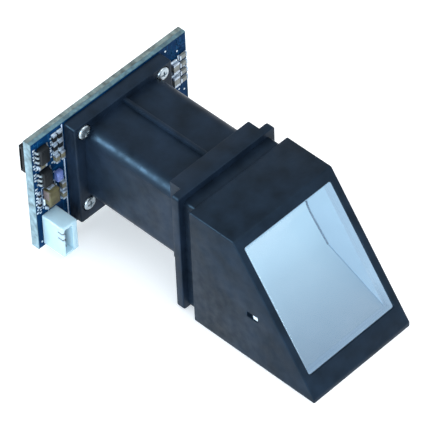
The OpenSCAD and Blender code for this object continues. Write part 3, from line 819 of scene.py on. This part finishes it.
def board_screws():
    """Pan-head screws with a cross recess, their threads and their blunt tips."""
    bm = bmesh.new()
    face = SCREWS_LOW[1]
    tip = SCREWS_HIGH[1]
    for x, z in SCREW_SPOTS:
        profile = [(face, 0.25)]
        for i in range(1, 7):
            angle = math.radians(90 * i / 6)
            profile.append((face + 0.32 * (1 - math.cos(angle)),
                            0.45 + (SCREW_HEAD_R - 0.45) * math.sin(angle)))
        profile += [(SCREW_SEAT - 0.06, SCREW_HEAD_R), (SCREW_SEAT, SCREW_HEAD_R - 0.06),
                    (SCREW_SEAT, SCREW_R - 0.12)]
        y = SCREW_SEAT + 0.1
        while y < tip - 0.4:
            profile += [(y, SCREW_R - 0.13), (y + 0.14, SCREW_R - 0.01), (y + 0.2, SCREW_R - 0.01)]
            y += 0.35
        profile += [(tip - 0.2, SCREW_R - 0.13), (tip, SCREW_R - 0.3)]
        lathe(bm, profile, x, z)
    piece = to_object("screws", bm, "screw_steel")
    for x, z in SCREW_SPOTS:
        for half_x, half_z in ((0.65, 0.14), (0.14, 0.65)):
            recess = bmesh.new()
            loft(recess, [[(x + sx * half_x * grow, y, z + sz * half_z * grow)
                           for sx, sz in ((1, 1), (-1, 1), (-1, -1), (1, -1))]
                          for y, grow in ((face - 0.2, 1.15), (face + 0.4, 0.6))])
            cut(piece, recess)
    return place(piece, "screw_steel", "board_screws")


main_board()
board_print()
board_screws()


# ---------------------------------------------------------------- parts on the board

def chip_row(name, places, material, node, slot=None):
    """Small two-ended parts: bodies, tinned ends and solder.

    Each place is (x, z, size, upright, on_front) with size as (length, width, height)."""
    bodies = bmesh.new()
    ends = bmesh.new()
    solder = bmesh.new()
    for x, z, (length, width, height), upright, on_front in places:
        cap = 0.22 * length

        def block(bm, a0, a1, half_w, y0, y1, radius, segments):
            """A block from a0 to a1 along the part and half_w to each side."""
            if upright:
                low, high = (x - half_w, z + a0), (x + half_w, z + a1)
            else:
                low, high = (x + a0, z - half_w), (x + a1, z + half_w)
            add_box(bm, (low[0], y0, low[1]), (high[0], y1, high[1]), radius, segments)

        y0, y1 = (BOARD_Y - height, BOARD_Y) if on_front else (BOARD_BACK, BOARD_BACK + height)
        foot_y = (y1 - height * 0.42, y1) if on_front else (y0, y0 + height * 0.42)
        block(bodies, -length / 2 + cap, length / 2 - cap, width / 2 - 0.02, y0 + 0.02, y1 - 0.02,
              0.04, 1)
        for side in (-1, 1):
            a = sorted((side * length / 2, side * (length / 2 - cap)))
            block(ends, a[0], a[1], width / 2, y0, y1, 0.07, 2)
            foot = sorted((side * (length / 2 + 0.2), side * (length / 2 - cap * 0.5)))
            block(solder, foot[0], foot[1], width / 2 + 0.06, *foot_y, height * 0.18, 2)
    place(to_object(name, bodies, material), slot or material, node)
    place(to_object(name + "_ends", ends, "tin_metal"), "tin_metal")
    place(to_object(name + "_solder", solder, "solder"), "tin_metal")


def lead_path(half, lead_l, rise, thick):
    """A gull-wing lead as (distance out from the chip's middle, height above the board)."""
    return [(half - 0.05, rise), (half + lead_l * 0.25, rise), (half + lead_l * 0.45, rise * 0.7),
            (half + lead_l * 0.5, thick * 1.4), (half + lead_l * 0.65, thick * 0.55),
            (half + lead_l, thick * 0.5)]


def flat_chip(name, x, z, body, leads, lead_l, on_front, node, four_sides=False):
    """A moulded chip with bent leads and a round mark in one corner."""
    way = -1 if on_front else 1
    face = BOARD_Y if on_front else BOARD_BACK
    base = face + way * 0.1
    top = base + way * body[2]
    shell = bmesh.new()
    add_box(shell, (x - body[0] / 2, min(base, top), z - body[1] / 2),
            (x + body[0] / 2, max(base, top), z + body[1] / 2), 0.12, 2)
    piece = to_object(name, shell, "chip_black")
    dot = bmesh.new()
    dot_r = min(0.45, body[0] * 0.09)
    ends = sorted((top + way * 0.3, top - way * 0.08))
    lathe(dot, [(y, dot_r) for y in ends], x - body[0] * 0.33, z + body[1] * 0.36, 20)
    cut(piece, dot)
    place(piece, "chip_black", node)

    legs = bmesh.new()
    pitch = body[1] / leads
    width = pitch * 0.42
    thick = 0.13
    sides = ((1, 0), (-1, 0), (0, 1), (0, -1)) if four_sides else ((1, 0), (-1, 0))
    for out_x, out_z in sides:
        reach = lead_l if out_x else lead_l * 0.55
        path = lead_path(body[0] / 2, reach, 0.1 + body[2] * 0.5, thick)
        for i in range(leads):
            across = (i - (leads - 1) / 2) * pitch
            rings = []
            for k, (out, up) in enumerate(path):
                ahead = path[min(k + 1, len(path) - 1)]
                behind = path[max(k - 1, 0)]
                slope = Vector((ahead[0] - behind[0], ahead[1] - behind[1])).normalized()
                ring = []
                for side_w, side_n in ((1, 1), (-1, 1), (-1, -1), (1, -1)):
                    o = out - side_n * slope[1] * thick / 2
                    u = max(up + side_n * slope[0] * thick / 2, 0.0)
                    w = across + side_w * width / 2
                    ring.append((x + (o * out_x if out_x else w), face + way * u,
                                 z + (o * out_z if out_z else w)))
                rings.append(ring)
            loft(legs, rings)
    place(to_object(name + "_leads", legs, "lead_grey"), "tin_metal")


def small_parts():
    small = (1.6, 0.8, 0.5)
    tall = (1.6, 0.8, 0.8)
    tiny = (1.0, 0.5, 0.4)
    chip_row("left_resistor_row",
             [(x, z, small, True, True) for x in (-12.2, -11.1) for z in (22.0, 20.1)]
             + [(-16.0, z, tiny, True, True) for z in (12.8, 10.9)],
             "chip_black", "left_resistors")
    chip_row("left_capacitor_row",
             [(x, 18.1, tall, True, True) for x in (-12.2, -11.1)]
             + [(-15.0, 18.5, (1.6, 0.7, 0.6), False, True)]
             + [(-11.4, z, tall, True, True) for z in (11.9, 9.9)]
             + [(-14.2, 9.3, (1.2, 0.6, 0.5), False, True)],
             "ceramic_brown", "left_capacitors")
    chip_row("right_part_row",
             [(14.5, z, small, False, True) for z in (19.6, 18.0, 16.4, 14.8)]
             + [(12.6, z, (2.0, 1.25, 0.9), True, True) for z in (18.6, 15.8)],
             "grey_ceramic", "right_parts", "ceramic_brown")
    chip_row("rear_capacitor_row",
             [(12.0, z, tall, False, False) for z in (15.2, 17.2, 19.2)]
             + [(x, 4.4, tall, False, False) for x in (-4.0, -1.2, 1.6)],
             "ceramic_brown", "rear_capacitors")


small_parts()
flat_chip("regulator_chip", -14.9, 20.9, (1.7, 2.9, 1.1), 3, 0.6, True, "regulator")
flat_chip("interface_chip_body", -14.7, 16.0, (1.7, 2.9, 1.1), 3, 0.6, True, "interface_chip")
flat_chip("processor_chip", 0.8, 13.6, (10, 10, 1.4), 16, 1.0, False, "processor", True)
flat_chip("flash_chip", -11.8, 12.0, (3.9, 4.9, 1.5), 4, 1.0, False, "flash_memory")


def tantalum():
    low, high = corners("tantalum_capacitor")
    tab = 0.3
    z0, z1 = low[2] + tab, high[2] - tab
    place(box_piece("tantalum_body", (low[0], low[1], z0), (high[0], high[1] - 0.02, z1),
                    0.16, "capacitor_tan", 3), "capacitor_tan", "tantalum_capacitor")
    place(box_piece("tantalum_band", (low[0] - 0.01, low[1] + 0.25, z0 + 1.1),
                    (low[0] + 0.1, high[1] - 0.1, z1 - 0.15), 0.04, "stripe_brown", 2),
          "capacitor_tan")
    tabs = bmesh.new()
    for a, b in ((low[2], z0 + 0.02), (z1 - 0.02, high[2])):
        add_box(tabs, (low[0] + 0.4, high[1] - 1, a), (high[0] - 0.4, high[1], b), 0.08, 2)
    place(to_object("tantalum_tabs", tabs, "tin_metal"), "tin_metal")
    fillet = bmesh.new()
    add_box(fillet, (low[0] - 0.35, high[1] - 0.5, z0 - 0.2), (low[0] + 0.05, high[1], z0 + 1.1),
            0.18, 3)
    place(to_object("tantalum_solder", fillet, "solder"), "tin_metal")


def varistor():
    low, high = corners("blue_varistor")
    place(box_piece("varistor_body", low, high, 0.15, "varistor_blue", 3), "varistor_blue",
          "blue_varistor")


SOCKET_WALL = (0.4, 1.0, 0.5)        # on the -X side, on the +X side, above and below
SOCKET_BACK_T = 1.2
CONTACTS = 4
NOTCH_HALF = 0.19


def socket():
    pins_low, pins_high = corners("socket_pins")
    half = (pins_high[0] - pins_low[0]) / 2
    pin_x = pins_low[0] + half
    pitch = (pins_high[2] - pins_low[2] - 2 * half) / (CONTACTS - 1)
    pin_z = [pins_low[2] + half + pitch * i for i in range(CONTACTS)]
    piece = box_piece("socket_body", SOCKET_LOW, SOCKET_HIGH, 0.2, "socket_white", 3)
    cavity = bmesh.new()
    floor_y = BOARD_Y - SOCKET_BACK_T
    left, right, ends = SOCKET_WALL
    add_box(cavity, (SOCKET_LOW[0] + left, SOCKET_LOW[1] - 1, SOCKET_LOW[2] + ends),
            (SOCKET_HIGH[0] - right, floor_y, SOCKET_HIGH[2] - ends), 0.15)
    cut(piece, cavity)
    for z in pin_z:
        hole = bmesh.new()
        reach = half + 0.03
        add_box(hole, (pin_x - reach, floor_y - 1, z - reach), (pin_x + reach, BOARD_Y + 1, z + reach))
        cut(piece, hole)
    notch_z = pin_z[2:]
    mouth = SOCKET_LOW[1]
    for z in notch_z:
        notch = bmesh.new()
        add_box(notch, (SOCKET_LOW[0] - 1, mouth - 1, z - NOTCH_HALF),
                (SOCKET_LOW[0] + 0.6, mouth + 1.15, z + NOTCH_HALF))
        cut(piece, notch)
    place(piece, "socket_white", "socket_shell")

    # the contacts are drawn in a darkened tin as painted shade
    pins = bmesh.new()
    for z in notch_z:
        add_box(pins, (SOCKET_LOW[0] + 0.05, mouth + 0.06, z - 0.13),
                (SOCKET_LOW[0] + 0.55, mouth + 1.1, z + 0.13), 0.05, 2)
    for z in pin_z:
        rings = [[(pin_x + sx * half * grow, y, z + sz * half * grow)
                  for sx, sz in ((1, 1), (-1, 1), (-1, -1), (1, -1))]
                 for y, grow in ((pins_low[1], 0.5), (pins_low[1] + 0.2, 1.0), (BOARD_Y, 1.0))]
        loft(pins, rings)
    place(to_object("socket_contacts", pins, "shaded_tin"), "gold_plate", "socket_pins")

    tails = bmesh.new()
    for z in pin_z:
        add_box(tails, (SOCKET_HIGH[0] - 0.02, BOARD_Y - 0.16, z - 0.2),
                (SOCKET_HIGH[0] + 0.45, BOARD_Y, z + 0.2), 0.06, 2)
    place(to_object("socket_tails", tails, "solder"), "tin_metal")


def rear_blocks():
    low, high = corners("rear_socket")
    piece = box_piece("rear_socket_body", low, high, 0.12, "chip_black", 2)
    slot = bmesh.new()
    add_box(slot, (low[0] - 1, high[1] - 0.55, low[2] + 0.5),
            (low[0] + 1.2, high[1] - 0.2, high[2] - 0.5))
    cut(piece, slot)
    place(piece, "chip_black", "rear_socket")

    low, high = corners("crystal")
    bm = bmesh.new()
    rounded_bar(bm, high[0] - low[0], low[2], high[2], 0.5, low[1], high[1], 0.15,
                (low[0] + high[0]) / 2)
    place(to_object("crystal_can", bm, "tin_metal"), "tin_metal", "crystal")

    low, high = corners("inductor")
    bm = bmesh.new()
    rounded_bar(bm, high[0] - low[0], low[2], high[2], 0.8, low[1], high[1], 0.25,
                (low[0] + high[0]) / 2)
    place(to_object("inductor_body", bm, "chip_black"), "chip_black", "inductor")


tantalum()
varistor()
socket()
rear_blocks()


# ---------------------------------------------------------------- pieces kept from the CAD

def keep_cad():
    """CAD nodes that no new piece stands for take their slot's material."""
    slots = {s["node"]: s["material_slot"] for s in frame["record"]["subparts"]}
    kept = ("window_seals", "reflector", "light_guide", "led_board", "leds", "led_resistor",
            "led_leads", "field_mask", "lens_holder", "lens_barrel", "front_lens", "aperture_stop",
            "rear_lens", "lens_retainer", "sensor_shroud", "ir_filter", "image_sensor",
            "sensor_glass", "light_seal")
    for node in kept:
        mesh = frame["nodes"][node].data
        mesh.materials.clear()
        mesh.materials.append(MATERIALS[slots[node]])


keep_cad()


# ---------------------------------------------------------------- floor, light, camera

def floor():
    bm = bmesh.new()
    half = 3.0
    corners_xy = ((-half, -half), (half, -half), (half, half), (-half, half))
    bm.faces.new([bm.verts.new((x, y, 0.0)) for x, y in corners_xy])
    mesh = bpy.data.meshes.new("floor")
    bm.to_mesh(mesh)
    bm.free()
    ground = bpy.data.objects.new("floor", mesh)
    bpy.context.scene.collection.objects.link(ground)
    mesh.materials.append(surface("floor_paper", (0.93, 0.93, 0.93), 0.7, spread=0.01, patch=8,
                                  grain=600, bump=0.02, glow=0.35))


def area_light(name, location, aim, size, power, color=(1, 1, 1), gloss_only=False):
    lamp = bpy.data.lights.new(name, "AREA")
    lamp.shape = "DISK"
    lamp.size = size
    lamp.energy = power
    lamp.color = color
    holder = bpy.data.objects.new(name, lamp)
    holder.location = location
    holder.visible_diffuse = not gloss_only
    way = Vector(aim) - Vector(location)
    holder.rotation_euler = way.to_track_quat("-Z", "Y").to_euler()
    bpy.context.scene.collection.objects.link(holder)


def lights():
    world = bpy.data.worlds.new("studio")
    world.use_nodes = True
    background = world.node_tree.nodes["Background"]
    background.inputs["Color"].default_value = (0.92, 0.96, 1.0, 1)
    background.inputs["Strength"].default_value = 1.05
    bpy.context.scene.world = world
    area_light("key", (-0.44, 0.30, 0.30), (0, 0, 0.01), 0.26, 10.0, (0.62, 0.82, 1.0),
               gloss_only=True)
    area_light("side", (-0.42, -0.25, 0.12), (0, 0, 0.01), 0.3, 2.2, (0.66, 0.86, 1.0))
    area_light("top", (0.1, -0.3, 0.6), (0, 0, 0.01), 0.5, 1.5)


SENSOR_W = 36.0
FOCAL = 346.74
CAMERA_DISTANCE = 0.615
CAMERA_AIM = (0.0028663, 0.0070102, 0.0063962)
CAMERA_ANGLES = (44.0925, 46.6312, 2.5835)        # azimuth to the left of the front, elevation, roll


def camera():
    """A long lens far off to the left of the front and above, fitted to the outline's corners."""
    lens = bpy.data.cameras.new("camera")
    lens.sensor_width = SENSOR_W
    lens.lens = FOCAL
    lens.clip_start = 0.01
    holder = bpy.data.objects.new("camera", lens)
    azimuth, elevation, roll = (math.radians(a) for a in CAMERA_ANGLES)
    away = Vector((-math.sin(azimuth) * math.cos(elevation), -math.cos(azimuth) * math.cos(elevation),
                   math.sin(elevation)))
    holder.location = Vector(CAMERA_AIM) + away * CAMERA_DISTANCE
    turn = (-away).to_track_quat("-Z", "Y").to_matrix().to_4x4()
    holder.rotation_euler = (turn @ Matrix.Rotation(-roll, 4, "Z")).to_euler()
    bpy.context.scene.collection.objects.link(holder)
    bpy.context.scene.camera = holder


floor()
lights()
camera()
bpy.context.scene.view_settings.view_transform = "Standard"

bpy.context.view_layer.update()
